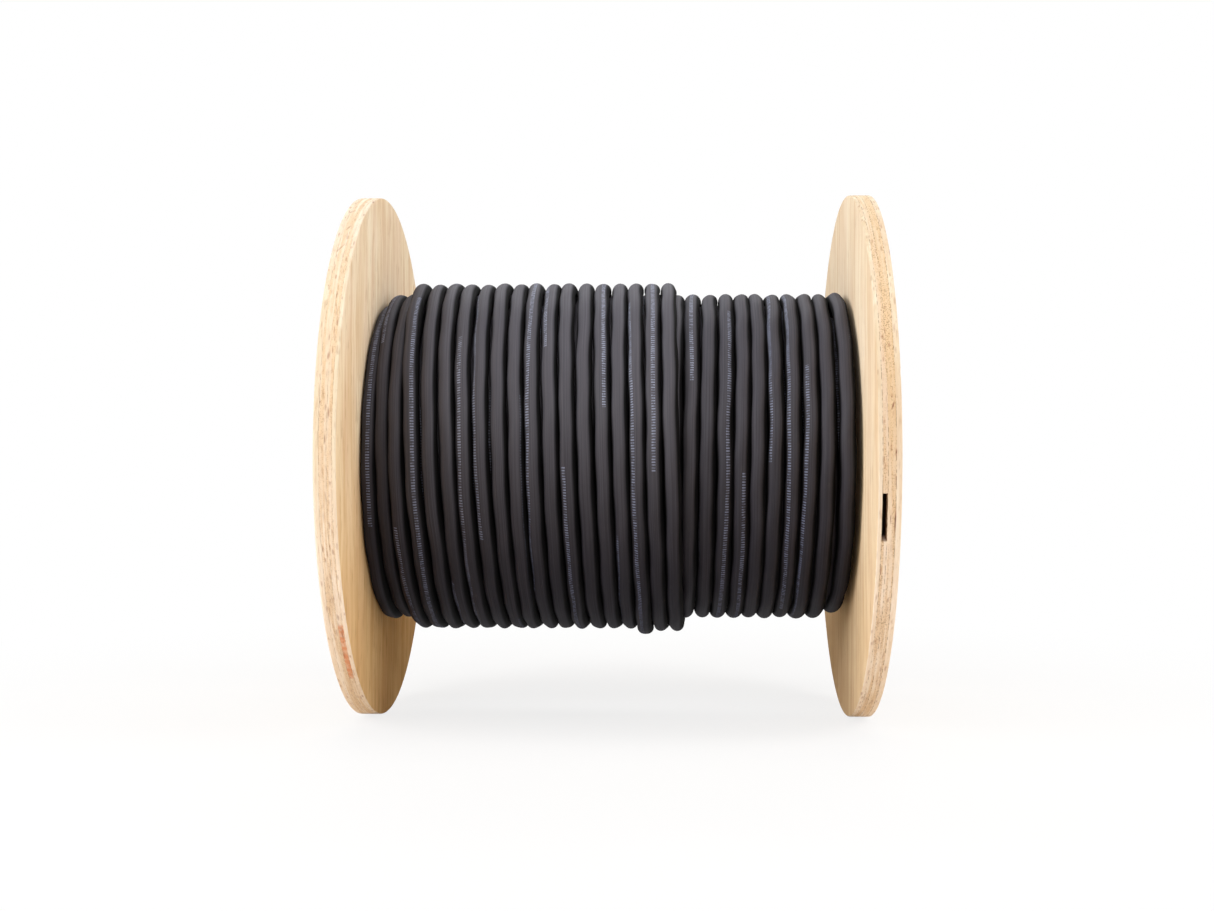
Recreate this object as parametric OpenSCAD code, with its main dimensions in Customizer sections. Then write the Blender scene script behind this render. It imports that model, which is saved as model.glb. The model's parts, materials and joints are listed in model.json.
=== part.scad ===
// Wooden cable drum: two plywood flanges on a fibre core, drawn together by four
// tie bolts and wound with rubber cable. The drum lies on its rims with its axis
// along X. The origin is on the floor, midway between the flanges.

/* [Flanges] */
// Diameter of each plywood flange
flange_d = 304.8; // [240:0.1:420]
// Thickness of the plywood
flange_t = 11.9; // [10:0.1:20]
// Chamfer that eases the edges of the rims
edge_ease = 0.7; // [0.2:0.1:2]
// Diameter of the arbor hole in the middle of each flange
arbor_d = 38.1; // [20:0.1:50]

/* [Core] */
// Distance between the inner faces of the flanges
traverse = 271.2; // [150:0.1:400]
// Outer diameter of the fibre tube that the cable is wound on
core_d = 120; // [110:0.5:160]
// Wall of the fibre tube
core_wall = 5; // [3:0.5:8]
// Depth of the groove in each flange that seats the tube
groove_depth = 4; // [2:0.5:5]
// Clearance round the tube in its groove and inside the winding
core_clearance = 0.3; // [0.1:0.05:0.4]

/* [Cable] */
// Diameter of the cable
cable_d = 8.9; // [6:0.1:11]
// Least space left between neighbouring turns
turn_gap = 0.4; // [0.2:0.1:1.5]
// Clearance between the outermost turns and the flanges
end_gap = 0.75; // [0.3:0.05:3]
// Share of the free nesting rise that is left once the layers press together
layer_press = 0.87; // [0.8:0.01:0.95]
// Full layers of cable, an odd number
full_layers = 5; // [3:2:5]
// Turns in the part-wound layer on top
top_turns = 17; // [4:1:20]
// Grooves of the layer below that stay empty to the left of the top layer
top_start = 1; // [0:1:6]

/* [Tie bolts] */
// Diameter of the bolt shank
bolt_d = 6.35; // [5:0.05:8]
// Radius of the bolt circle, inside the core
bolt_circle_r = 39; // [36:0.5:41]
// Diameter of the truss head
bolt_head_d = 14.3; // [11:0.1:17]
// Height of the truss head
bolt_head_h = 2.8; // [2:0.1:4]
// Width of each slot of the driver recess
driver_slot_w = 1.3; // [0.8:0.1:2]
// Depth of the driver recess
driver_slot_depth = 1.4; // [0.8:0.1:1.8]
// Diameter of the tee nut's round base
tee_base_d = 18; // [14:0.5:20]
// Thickness of the tee nut's round base
tee_base_t = 1.5; // [1:0.1:2.5]
// Outer diameter of the tee nut's barrel
tee_barrel_d = 8.4; // [8.3:0.1:11]
// Length of the tee nut's barrel below its base
tee_barrel_l = 7; // [4:0.5:8]
// Clearance of bolts and nuts in the plywood, all round
bolt_clearance = 0.25; // [0.1:0.05:0.6]
// Play between the bolt and the tee nut's thread
thread_play = 0.05; // [0.02:0.01:0.1]
// Depth that heads and nut bases lie below the outer faces
recess = 0.3; // [0:0.1:1]

/* [Ply void] */
// Length of the open gap in the right rim, along the arc
void_l = 23.5; // [5:0.5:60]
// Width of the gap, one ply
void_w = 2.25; // [1:0.05:3]
// Depth of the gap into the rim
void_depth = 9; // [3:0.5:20]
// Distance of the gap from the flange's inner face
void_inset = 2; // [1:0.1:4]
// Angle of the gap's middle below the axis, on the front
void_angle = 11.7; // [-60:0.1:60]

/* [Hidden] */
$fn = 96;
flange_r = flange_d / 2;
core_r = core_d / 2;
core_bore_r = core_r - core_wall;
half_traverse = traverse / 2;
half_width = half_traverse + flange_t;
cut = 1;

// The turns share out the traverse, so they fill it at any size
turn_span = traverse - 2 * end_gap - cable_d;
turns = floor(turn_span / (cable_d + turn_gap)) + 1;
pitch = turn_span / (turns - 1);
free_rise = sqrt(pow(cable_d, 2) - pow(pitch / 2, 2));
layer_rise = layer_press * free_rise;
winding_bore_r = core_r + core_clearance;
outer_layer = full_layers - 1;
// A filling that reaches a quarter of a turn past a turn's middle stays hidden inside it
fill_lap = cable_d / 4;

// One tie bolt and one tee nut for each pair of nodes below
bolt_count = 4;
bolt_angle_step = 360 / bolt_count;
bolt_start_angle = bolt_angle_step / 2;
head_pocket_depth = bolt_head_h + recess;
head_pocket_d = bolt_head_d + 2 * bolt_clearance;
tee_pocket_depth = tee_base_t + recess;
tee_pocket_d = tee_base_d + 2 * bolt_clearance;
bolt_hole_d = bolt_d + 2 * bolt_clearance;
tee_hole_d = tee_barrel_d + 2 * bolt_clearance;
head_seat = -half_width + head_pocket_depth;
tee_seat = half_width - tee_pocket_depth;
bolt_end = half_width - recess;
driver_slot_l = bolt_head_d / 2;

// Radius of the middle of a turn, with layer 0 on the core
function layer_r(layer) = winding_bore_r + cable_d / 2 + layer * layer_rise;

// Even layers hold every turn, odd layers lie in the grooves between them
function layer_turns(layer) = turns - layer % 2;

// Distance along the axis of one turn of a layer
function turn_x(layer, turn) = pitch * (turn - (layer_turns(layer) - 1) / 2);

// Lays a shape made round Z along the drum's axis, with Z turned to X
module on_axis() {
    translate([0, 0, flange_r])
        rotate([0, 90, 0])
            children();
}

// One child on each place of the bolt circle
module at_bolt(index) {
    rotate([0, 0, bolt_start_angle + bolt_angle_step * index])
        translate([bolt_circle_r, 0, 0])
            children();
}

module at_every_bolt() {
    for (index = [0 : bolt_count - 1])
        at_bolt(index)
            children();
}

// A plain cylinder from one place on the axis to another
module rod(from, to, d) {
    translate([0, 0, from])
        cylinder(h = to - from, d = d);
}

// A ring round the axis
module ring(from, to, inner_r, outer_r) {
    rotate_extrude()
        translate([inner_r, from])
            square([outer_r - inner_r, to - from]);
}

// Plywood disc with eased edges and the arbor hole
module flange_disc(from) {
    to = from + flange_t;
    rotate_extrude()
        polygon([
            [arbor_d / 2, from],
            [flange_r - edge_ease, from],
            [flange_r, from + edge_ease],
            [flange_r, to - edge_ease],
            [flange_r - edge_ease, to],
            [arbor_d / 2, to]
        ]);
}

// Groove that seats one end of the core tube
module core_groove(from, to) {
    ring(from, to, core_bore_r - core_clearance, core_r + core_clearance);
}

// Gap left in one ply of the right rim, open to the front
module ply_void() {
    arc = void_l / flange_r * 180 / PI;
    front = -90;
    rotate([0, 0, front + void_angle - arc / 2])
        rotate_extrude(angle = arc)
            translate([flange_r - void_depth, half_traverse + void_inset])
                square([void_depth + cut, void_w]);
}

module left_flange() {
    color("burlywood")
        on_axis()
            difference() {
                flange_disc(-half_width);
                core_groove(-half_traverse - groove_depth, -half_traverse + cut);
                at_every_bolt() {
                    rod(-half_width - cut, -half_traverse + cut, bolt_hole_d);
                    rod(-half_width - cut, head_seat, head_pocket_d);
                }
            }
}

module right_flange() {
    color("burlywood")
        on_axis()
            difference() {
                flange_disc(half_traverse);
                core_groove(half_traverse - cut, half_traverse + groove_depth);
                at_every_bolt() {
                    rod(half_traverse - cut, half_width + cut, tee_hole_d);
                    rod(tee_seat, half_width + cut, tee_pocket_d);
                }
                ply_void();
            }
}

module core_tube() {
    seat = half_traverse + groove_depth;
    color("peru")
        on_axis()
            ring(-seat, seat, core_bore_r, core_r);
}

// One turn of cable in the section through the winding
module turn_section(layer, x) {
    translate([layer_r(layer), x])
        circle(d = cable_d);
}

// Section of the winding: every turn of the outer layers, the end turns of the
// layers below, and a filling that stays inside them
module winding_section() {
    fill_x = turn_x(0, turns - 1) - pitch / 2 + fill_lap;
    translate([winding_bore_r, -fill_x])
        square([layer_r(outer_layer) - winding_bore_r, 2 * fill_x]);
    for (turn = [0 : turns - 1])
        turn_section(outer_layer, turn_x(outer_layer, turn));
    for (layer = [0 : outer_layer - 1], side = [-1, 1])
        turn_section(layer, side * turn_x(layer, layer_turns(layer) - 1));

    top_layer = full_layers;
    top_from = turn_x(top_layer, top_start);
    top_to = turn_x(top_layer, top_start + top_turns - 1);
    translate([layer_r(outer_layer), top_from - fill_lap])
        square([layer_rise, top_to - top_from + 2 * fill_lap]);
    for (turn = [top_start : top_start + top_turns - 1])
        turn_section(top_layer, turn_x(top_layer, turn));
}

module cable_winding() {
    color("dimgray")
        on_axis()
            rotate_extrude()
                winding_section();
}

// Truss head: a shallow dome that stands on the pocket floor, with a cross recess
module bolt_head() {
    dome_r = (pow(bolt_head_d / 2, 2) + pow(bolt_head_h, 2)) / (2 * bolt_head_h);
    difference() {
        intersection() {
            translate([0, 0, head_seat - bolt_head_h + dome_r])
                sphere(r = dome_r);
            rod(head_seat - bolt_head_h - cut, head_seat, bolt_head_d + cut);
        }
        for (angle = [0, 90])
            rotate([0, 0, angle])
                translate([-driver_slot_l / 2, -driver_slot_w / 2, head_seat - bolt_head_h - cut])
                    cube([driver_slot_l, driver_slot_w, driver_slot_depth + cut]);
    }
}

module tie_bolt(index) {
    color("silver")
        on_axis()
            at_bolt(index) {
                bolt_head();
                rod(head_seat - cut / 2, bolt_end, bolt_d);
            }
}

module tee_nut(index) {
    color("gainsboro")
        on_axis()
            at_bolt(index)
                difference() {
                    union() {
                        rod(tee_seat, tee_seat + tee_base_t, tee_base_d);
                        rod(tee_seat - tee_barrel_l, tee_seat + tee_base_t / 2, tee_barrel_d);
                    }
                    rod(tee_seat - tee_barrel_l - cut, half_width + cut, bolt_d + 2 * thread_play);
                }
}

left_flange();
right_flange();
core_tube();
cable_winding();
tie_bolt(0);  // tie_bolt_1
tie_bolt(1);  // tie_bolt_2
tie_bolt(2);  // tie_bolt_3
tie_bolt(3);  // tie_bolt_4
tee_nut(0);  // tee_nut_1
tee_nut(1);  // tee_nut_2
tee_nut(2);  // tee_nut_3
tee_nut(3);  // tee_nut_4
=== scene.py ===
# %% [markdown]
# # A wooden cable drum
# Two round plywood flanges stand on a tube of board, four long bolts pull them together,
# and nearly eighty metres of black rubber cable are wound between them.
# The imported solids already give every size. This lesson puts the surfaces on them:
# plies and grain on the wood, the run of every turn of the cable, and a plain studio.

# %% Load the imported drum
import json
import math

import bmesh
import bpy
import numpy as np
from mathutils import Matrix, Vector
from mathutils.geometry import delaunay_2d_cdt


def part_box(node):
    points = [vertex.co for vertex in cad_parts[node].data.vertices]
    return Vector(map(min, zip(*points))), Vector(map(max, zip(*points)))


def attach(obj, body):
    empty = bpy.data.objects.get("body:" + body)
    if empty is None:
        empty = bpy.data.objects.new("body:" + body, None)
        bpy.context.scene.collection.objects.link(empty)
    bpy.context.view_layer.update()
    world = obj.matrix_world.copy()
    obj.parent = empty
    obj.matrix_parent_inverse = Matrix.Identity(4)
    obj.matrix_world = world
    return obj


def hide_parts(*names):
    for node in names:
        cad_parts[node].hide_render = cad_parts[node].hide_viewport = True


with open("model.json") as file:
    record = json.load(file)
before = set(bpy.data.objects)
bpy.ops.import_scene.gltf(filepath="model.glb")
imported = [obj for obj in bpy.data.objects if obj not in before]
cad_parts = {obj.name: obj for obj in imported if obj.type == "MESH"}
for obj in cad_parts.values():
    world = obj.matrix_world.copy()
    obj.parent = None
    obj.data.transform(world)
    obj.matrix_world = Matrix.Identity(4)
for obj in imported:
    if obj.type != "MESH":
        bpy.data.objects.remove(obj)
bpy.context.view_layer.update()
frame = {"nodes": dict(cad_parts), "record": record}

# %% [markdown]
# ## Sizes that the solids give
# Nothing is measured twice. The drum lies on its rims with its axis along X, so the height
# of the arbor hole is also the radius of the flanges, and the boxes of the nodes give the
# flange faces and the height of the winding.

# %% Read the main sizes
MM = 0.001
arbor = next(m for m in frame["record"]["mounts"] if m["name"] == "arbor_bore")
axis_z = arbor["pos_m"][2]
flange_r = axis_z
inner_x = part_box("right_flange")[0].x
outer_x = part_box("right_flange")[1].x
flange_t = outer_x - inner_x
winding_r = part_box("cable_winding")[1].z - axis_z
print("flange radius", round(flange_r, 4), "thickness", round(flange_t, 4))
print("flange faces at", round(inner_x, 4), round(outer_x, 4))
print("winding radius", round(winding_r, 4))

# %% [markdown]
# ## The camera
# The photograph looks straight at the winding, level with the axis and from nearly a metre,
# so both flanges show their inner faces and the far rims shrink a little. A camera is placed
# by its distance first, because that sets the perspective, and by its lens last.

# %% Place the camera
camera_place = (0.0293, -0.9397, 0.1527)
camera_turn = 2.078
camera_lens = 46.79

lens = bpy.data.cameras.new("photo_camera")
lens.lens = camera_lens
lens.sensor_width = 36.0
lens.clip_start = 0.01
camera = bpy.data.objects.new("photo_camera", lens)
camera.location = camera_place
camera.rotation_euler = (math.radians(90.0), 0.0, math.radians(camera_turn))
bpy.context.scene.collection.objects.link(camera)
bpy.context.scene.camera = camera
print("camera at", camera_place, "lens", camera_lens)

# %% [markdown]
# ## Small helpers for shader nodes
# Each finish below is a tree of nodes. Typing every node out by hand hides the idea of the
# tree, so a few helpers place a node, do one sum, blend two colours or stretch a range.

# %% Node helpers
def put(tree, kind, inputs=None, **settings):
    """Adds a node, applies its settings, and fills or links its inputs."""
    made = tree.nodes.new(kind)
    for name, value in settings.items():
        setattr(made, name, value)
    for name, value in (inputs or {}).items():
        if isinstance(value, bpy.types.NodeSocket):
            tree.links.new(value, made.inputs[name])
        else:
            made.inputs[name].default_value = value
    return made


def calc(tree, operation, *values):
    """One Math node; a value may be a number or another node's output."""
    return put(tree, "ShaderNodeMath", dict(enumerate(values)), operation=operation).outputs[0]


def times(tree, first, second):
    """Two values multiplied, as a mask and its share are."""
    return calc(tree, "MULTIPLY", first, second)


def blend(tree, factor, first, second, mode="MIX"):
    """One colour Mix node."""
    inputs = {0: factor, 6: first, 7: second}
    return put(tree, "ShaderNodeMix", inputs, data_type="RGBA", blend_type=mode).outputs[2]


def stretch(tree, value, low, high, to_low=0.0, to_high=1.0):
    """A smooth step from low to high, as a value between to_low and to_high."""
    inputs = {"Value": value, "From Min": low, "From Max": high}
    inputs.update({"To Min": to_low, "To Max": to_high})
    return put(tree, "ShaderNodeMapRange", inputs, interpolation_type="SMOOTHSTEP").outputs[0]


def either(tree, mask, off, on):
    """One value where a mask is 0 and another where it is 1."""
    return stretch(tree, mask, 0.0, 1.0, off, on)


def noise(tree, vector, scale, detail=2.0, rough=0.5):
    """One Noise Texture, as its value."""
    inputs = {"Vector": vector, "Scale": scale, "Detail": detail, "Roughness": rough}
    return put(tree, "ShaderNodeTexNoise", inputs).outputs[0]


def scaled(tree, vector, factors):
    """A vector with each axis stretched by its own factor."""
    inputs = {0: vector, 1: factors}
    return put(tree, "ShaderNodeVectorMath", inputs, operation="MULTIPLY").outputs[0]


print("node helpers ready")

# %% [markdown]
# ## Shared effects as node groups
# The marks of handling turn up in every finish, so they are one node group with named
# sockets. The veneer figure is a group too, to keep the plywood's own tree short. A group
# only puts out masks; the shader itself stays in the material, where its values are set.

# %% Start a node group
def new_group(name, inputs, outputs):
    """An empty shader group with named sockets, given as (name, kind, default)."""
    group = bpy.data.node_groups.new(name, "ShaderNodeTree")
    for label, kind, default in inputs:
        socket = group.interface.new_socket(label, in_out="INPUT", socket_type="NodeSocket" + kind)
        if default is not None:
            socket.default_value = default
    for label in outputs:
        group.interface.new_socket(label, in_out="OUTPUT", socket_type="NodeSocketFloat")
    return group, put(group, "NodeGroupInput").outputs, put(group, "NodeGroupOutput").inputs


def use_group(tree, group, inputs):
    """Places a group in a material and gives its outputs."""
    return put(tree, "ShaderNodeGroup", inputs, node_tree=group).outputs


print("node groups start empty")

# %% [markdown]
# Wood is fibres that run one way, so its figure is noise that is stretched along the grain:
# a broad streak, a fine fibre and short open pores. Cut across the fibres, the same solid
# noise turns into the dots of end grain, which is just what a plywood edge shows. Two slow
# waves bend the grain first, because no tree grows dead straight.

# %% The veneer figure group
veneer_figure, given, wanted = new_group(
    "Veneer figure", [("Grain", "Vector", None)], ["Streak", "Band", "Fibre", "Flecks", "Pores"]
)
grain_waves = (((6, 14, 6), 22 * MM), ((40, 60, 30), 6.0 * MM))
grain = given["Grain"]
for factors, reach in grain_waves:
    sway = noise(veneer_figure, scaled(veneer_figure, given["Grain"], factors), 1.0, 1.0)
    sway = times(veneer_figure, calc(veneer_figure, "SUBTRACT", sway, 0.5), reach)
    sway = put(veneer_figure, "ShaderNodeCombineXYZ", {1: sway}).outputs[0]
    grain = put(veneer_figure, "ShaderNodeVectorMath", {0: grain, 1: sway}).outputs[0]

figure_parts = (
    # output, stretch of its noise, detail, and the range that is spread to 0..1
    ("Streak", (110, 95, 8.0), 3.0, 0.38, 0.66),
    ("Band", (22, 38, 13), 2.0, 0.40, 0.62),
    ("Fibre", (800, 230, 16), 3.0, 0.42, 0.64),
    ("Flecks", (500, 260, 60), 2.0, 0.60, 0.72),
    ("Pores", (1700, 1700, 115), 2.0, 0.0, 1.0),
)
for label, factors, detail, low, high in figure_parts:
    value = noise(veneer_figure, scaled(veneer_figure, grain, factors), 1.0, detail)
    if high < 1.0:
        value = stretch(veneer_figure, value, low, high)
    veneer_figure.links.new(value, wanted[label])
print("group", veneer_figure.name, len(veneer_figure.nodes), "nodes")

# %% [markdown]
# Every drum is rolled, stacked and handled. One group gives soft smudges and fine specks
# for wood, rubber, board and steel alike, each with its own scale.

# %% The handling marks group
handling_marks, given, wanted = new_group(
    "Handling marks",
    [("Place", "Vector", None), ("Smudge scale", "Float", 20.0), ("Speck scale", "Float", 900.0)],
    ["Smudge", "Specks", "Scuff"],
)
smudge = noise(handling_marks, given["Place"], given["Smudge scale"], 4.0, 0.55)
handling_marks.links.new(stretch(handling_marks, smudge, 0.40, 0.72), wanted["Smudge"])
specks = noise(handling_marks, given["Place"], given["Speck scale"], 2.0, 0.6)
handling_marks.links.new(specks, wanted["Specks"])
scuff_place = scaled(handling_marks, given["Place"], (3.0, 1.0, 0.6))
scuff = noise(handling_marks, scuff_place, 130.0, 3.0, 0.7)
handling_marks.links.new(stretch(handling_marks, scuff, 0.62, 0.74), wanted["Scuff"])


def handled(tree, place, smudge_scale, speck_scale):
    """The handling marks in a material, at its own two scales."""
    inputs = {"Place": place, "Smudge scale": smudge_scale, "Speck scale": speck_scale}
    return use_group(tree, handling_marks, inputs)


print("group", handling_marks.name, len(handling_marks.nodes), "nodes")

# %% [markdown]
# ## Materials
# Each material starts the same way, with an empty tree and the place of a point on the
# object, and ends with one Principled shader. Three helpers save writing that out each time.

# %% Start a material
def new_finish(name):
    """A material with an empty tree; gives the tree, its place vector and its output node."""
    finish = bpy.data.materials.new(name)
    finish.use_nodes = True
    tree = finish.node_tree
    tree.nodes.clear()
    place = put(tree, "ShaderNodeTexCoord").outputs["Object"]
    return finish, tree, place, put(tree, "ShaderNodeOutputMaterial")


def shade(tree, end, inputs):
    """The Principled shader at the end of a material."""
    shader = put(tree, "ShaderNodeBsdfPrincipled", inputs)
    tree.links.new(shader.outputs[0], end.inputs["Surface"])


def bump(tree, height, strength, distance):
    """A Bump node, as its normal."""
    inputs = {"Height": height, "Strength": strength, "Distance": distance}
    return put(tree, "ShaderNodeBump", inputs).outputs[0]


print("material helpers ready")

# %% [markdown]
# ## The studio
# The photograph has a white ground and soft light from above. The world and the floor are
# white only for the rays that come from the camera or a reflection, so the ground is white
# while the lamps stay at a plain level, and the floor still takes a faint shadow. For the
# light that falls on things both are a little warm, as the bounce in a room with wood is.

# %% The world
FILL_LEVEL = 0.22
WARM_FILL = (1.0, 0.78, 0.55, 1)
WHITE = (1, 1, 1, 1)

world = bpy.data.worlds.new("studio")
world.use_nodes = True
bpy.context.scene.world = world
bpy.context.scene.view_settings.view_transform = "Standard"


def seen_directly(tree):
    """1 for rays from the camera, a reflection or glass, and 0 for light that falls on things."""
    path = put(tree, "ShaderNodeLightPath").outputs
    direct = calc(tree, "MAXIMUM", path["Is Camera Ray"], path["Is Glossy Ray"])
    return calc(tree, "MAXIMUM", direct, path["Is Transmission Ray"])


sky = world.node_tree
sky.nodes.clear()
sky_level = either(sky, seen_directly(sky), FILL_LEVEL, 1.0)
sky_end = put(sky, "ShaderNodeOutputWorld")
sky_colour = blend(sky, seen_directly(sky), WARM_FILL, WHITE)
sky_shader = put(sky, "ShaderNodeBackground", {"Color": sky_colour, "Strength": sky_level})
sky.links.new(sky_shader.outputs[0], sky_end.inputs["Surface"])
print("world fill", FILL_LEVEL)

# %% The floor
WARM_PAPER = (0.80, 0.70, 0.57, 1)
PAPER_DULL = (0.80, 0.80, 0.80, 1)
PAPER_CLEAN = (0.83, 0.83, 0.83, 1)
FLOOR_HALF = 8.0
FLOOR_NEAR, FLOOR_FAR = 0.80, 1.0
NEAR_REACH, FAR_REACH = 0.15, 0.60

floor_mesh = bpy.data.meshes.new("studio_floor")
floor_signs = ((-1, -1), (1, -1), (1, 1), (-1, 1))
floor_corners = [(a * FLOOR_HALF, b * FLOOR_HALF, 0) for a, b in floor_signs]
floor_mesh.from_pydata(floor_corners, [], [(0, 1, 2, 3)])
floor = bpy.data.objects.new("studio_floor", floor_mesh)
bpy.context.scene.collection.objects.link(floor)

floor_finish, tree, place, end = new_finish("pale_floor")
paper = noise(tree, place, 3.0, 3.0)
paper = blend(tree, stretch(tree, paper, 0.3, 0.7), PAPER_DULL, PAPER_CLEAN)
paper = blend(tree, seen_directly(tree), WARM_PAPER, paper)
matte = put(tree, "ShaderNodeBsdfDiffuse", {"Color": paper}).outputs[0]
glow = put(tree, "ShaderNodeEmission", {"Color": WHITE, "Strength": 1.0}).outputs[0]
away = put(tree, "ShaderNodeVectorMath", {0: place}, operation="LENGTH").outputs["Value"]
white_share = stretch(tree, away, NEAR_REACH, FAR_REACH, FLOOR_NEAR, FLOOR_FAR)
white_share = times(tree, seen_directly(tree), white_share)
mixed = put(tree, "ShaderNodeMixShader", {0: white_share, 1: matte, 2: glow}).outputs[0]
tree.links.new(mixed, end.inputs["Surface"])
floor_mesh.materials.append(floor_finish)
print("floor glow", FLOOR_NEAR, "to", FLOOR_FAR)

# %% [markdown]
# Five area lamps light the drum. Long narrow ones overhead, behind and in front draw soft
# lines of light along the turns, and a square one on each side lights the flange across
# from it. Large lamps are used because they give soft edges to the shadows.

# %% Lamps
lamp_plan = (
    # name, place, aim, width and depth in metres, watts
    ("overhead_lamp", (0.0, -0.15, 1.20), (0.0, 0.0, 0.15), 1.8, 0.3, 4.0),
    ("back_lamp", (0.0, 0.85, 1.00), (0.0, 0.0, 0.20), 1.6, 0.2, 6.5),
    ("front_lamp", (0.0, -1.40, 0.92), (0.0, 0.0, 0.13), 1.6, 0.25, 7.3),
    ("left_lamp", (-1.25, -0.72, 0.65), (0.05, 0.0, 0.14), 0.9, 0.9, 17.0),
    ("right_lamp", (1.30, -0.50, 0.90), (-0.05, 0.0, 0.18), 0.9, 0.9, 14.5),
)
for name, stand_place, aim, width, depth, watts in lamp_plan:
    lamp = bpy.data.lights.new(name, "AREA")
    lamp.shape = "RECTANGLE"
    lamp.size, lamp.size_y, lamp.energy = width, depth, watts
    stand = bpy.data.objects.new(name, lamp)
    stand.location = stand_place
    towards = Vector(aim) - Vector(stand_place)
    stand.rotation_euler = towards.to_track_quat("-Z", "Y").to_euler()
    bpy.context.scene.collection.objects.link(stand)
print("lamps", [plan[0] for plan in lamp_plan])

# %% [markdown]
# ## The plywood finish
# The flanges are cut from four-ply board. The two face plies have upright grain and the two
# core plies lie across it, so the rim is striped: smooth where the fibres run along the edge,
# and open and brown where they are cut across. Noise in solid space is used, not a flat
# texture, because it runs through the board and joins face and rim without a seam.

# %% Plywood colours
CREAM = (0.86, 0.745, 0.570, 1)
TAN = (0.72, 0.530, 0.330, 1)
ROSE = (0.79, 0.620, 0.465, 1)
PALE = (0.92, 0.830, 0.680, 1)
HONEY_SHADE = (0.93, 0.755, 0.505, 1)
CORE_PALE = (0.88, 0.755, 0.570, 1)
CORE_PINK = (0.80, 0.610, 0.450, 1)
CORE_ORANGE = (0.77, 0.550, 0.340, 1)
CORE_ROSE = (0.84, 0.670, 0.505, 1)
FIBRE_TINT = (0.76, 0.610, 0.440, 1)
SAWN_TINT = (0.89, 0.930, 0.970, 1)
# A pale tint for painted light and a painted sheen on the rims.
RIM_PALE_LIGHT = (0.95, 0.860, 0.790, 1)
FLECK_BROWN = (0.46, 0.290, 0.150, 1)
PORE_BROWN = (0.25, 0.140, 0.065, 1)
GLUE_BROWN = (0.20, 0.110, 0.060, 1)
RED_BROWN = (0.30, 0.105, 0.055, 1)
SALMON = (0.72, 0.310, 0.170, 1)
# Near black for cracks, and for the painted shade on the walls of the open core gap.
CRACK_AND_SHADE_BLACK = (0.018, 0.010, 0.006, 1)
print("plywood runs from cream", CREAM[:3], "to brown", PORE_BROWN[:3])

# %% [markdown]
# The mesh carries a few marks at each point: its ply, whether that ply lies across, and where
# glue, stain and dark pits are. The grain is turned in the core plies and shifted from ply to
# ply, so that no two veneers look alike. Masks then tell the faces from the sawn rim.

# %% Plywood grain and masks
PLY_SHIFT = 0.37


def attribute(tree, name):
    """A mark that the mesh carries at each point."""
    return put(tree, "ShaderNodeAttribute", attribute_name=name).outputs["Fac"]


plywood, tree, place, end = new_finish("plywood")
spot = put(tree, "ShaderNodeSeparateXYZ", {0: place}).outputs
height_up, which_side = spot[2], calc(tree, "SIGN", spot[0])
ply, crosswise = attribute(tree, "ply"), attribute(tree, "cross")
level_grain = put(tree, "ShaderNodeCombineXYZ", {0: spot[0], 1: spot[2], 2: spot[1]}).outputs[0]
turned = put(tree, "ShaderNodeMix", {0: crosswise, 4: place, 5: level_grain}, data_type="VECTOR")
shift = calc(tree, "ADD", times(tree, ply, PLY_SHIFT), which_side)
shift = put(tree, "ShaderNodeCombineXYZ", {1: shift, 2: shift}).outputs[0]
grain = put(tree, "ShaderNodeVectorMath", {0: turned.outputs[1], 1: shift}).outputs[0]
figure = use_group(tree, veneer_figure, {"Grain": grain})
marks = handled(tree, place, 14.0, 700.0)

facing = put(tree, "ShaderNodeTexCoord").outputs["Normal"]
facing = put(tree, "ShaderNodeSeparateXYZ", {0: facing}).outputs
on_face = stretch(tree, calc(tree, "ABSOLUTE", facing[0]), 0.7, 0.95)
on_inner = stretch(tree, times(tree, facing[0], which_side), -0.7, -0.95)
on_right = stretch(tree, spot[0], -0.1, 0.1)
sawn = calc(tree, "SUBTRACT", 1.0, on_face)
cut_across = calc(tree, "ABSOLUTE", facing[1])
print("plywood masks from", len(tree.nodes), "nodes")

# %% [markdown]
# The veneer is built up like a glaze, one thin colour over the next: tan streaks, rosy bands,
# pale smudges and brown flecks. In the photograph the inner faces deepen towards the floor,
# so a honey tint is multiplied in there as painted shade, which keeps the grain under it.

# %% Face veneer
FACE_SHADE_FROM, FACE_SHADE_FULL = 0.25, 0.03

face_layers = (
    (figure["Streak"], 0.62, TAN),
    (figure["Band"], 0.60, ROSE),
    (marks["Smudge"], 0.45, PALE),
    (figure["Flecks"], 0.36, FLECK_BROWN),
    (on_face, either(tree, on_right, 0.0, 0.35), PALE),
)
wood = CREAM
for mask, share, colour in face_layers:
    wood = blend(tree, times(tree, mask, share), wood, colour)
# Painted shade: the inner faces are darkened and warmed towards the floor with a honey tint.
deepest_shade = either(tree, on_right, 0.95, 0.50)
painted_shade = stretch(tree, height_up, FACE_SHADE_FROM, FACE_SHADE_FULL, 0.0, deepest_shade)
wood = blend(tree, times(tree, on_inner, painted_shade), wood, HONEY_SHADE, "MULTIPLY")
print("face veneer in", len(face_layers), "layers and a tint")

# %% [markdown]
# The sawn rim shows the core plies in their own colours. In the photograph it is paler near
# the floor and at the top of the left flange, so a pale tint is painted over it there: painted
# light low down and a painted sheen at the top. Fine tan lines follow the plies.

# %% Sawn rim
RIM_SHEEN_FROM, RIM_SHEEN_FULL = 0.22, 0.29
RIM_LIGHT_FROM, RIM_LIGHT_FULL = 0.19, 0.05
SAW_LINES = (650, 18, 18)

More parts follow.
